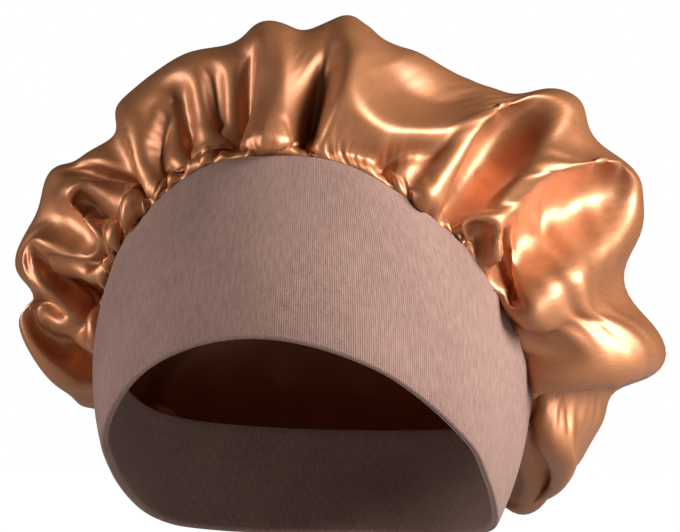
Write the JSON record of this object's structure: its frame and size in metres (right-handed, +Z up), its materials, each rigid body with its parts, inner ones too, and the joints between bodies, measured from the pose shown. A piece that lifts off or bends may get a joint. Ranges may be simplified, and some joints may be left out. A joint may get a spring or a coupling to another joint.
{
  "type": "sleep bonnet",
  "caption": "Satin sleep bonnet in its worn form: wide knitted headband with a full crown gathered onto it all round.",
  "frame": {"origin": "centre of the head hollow, where the middle of the wearer's head sits", "axes": "+Z up, -Y towards the wearer's face, +X towards the wearer's left"},
  "size_m": [0.2437, 0.2543, 0.1895],
  "materials": {
    "headband": "fine heathered jersey knit",
    "crown": "glossy satin"
  },
  "bodies": {
    "root": {"headband": "headband", "crown": "crown"}
  },
  "joints": []
}
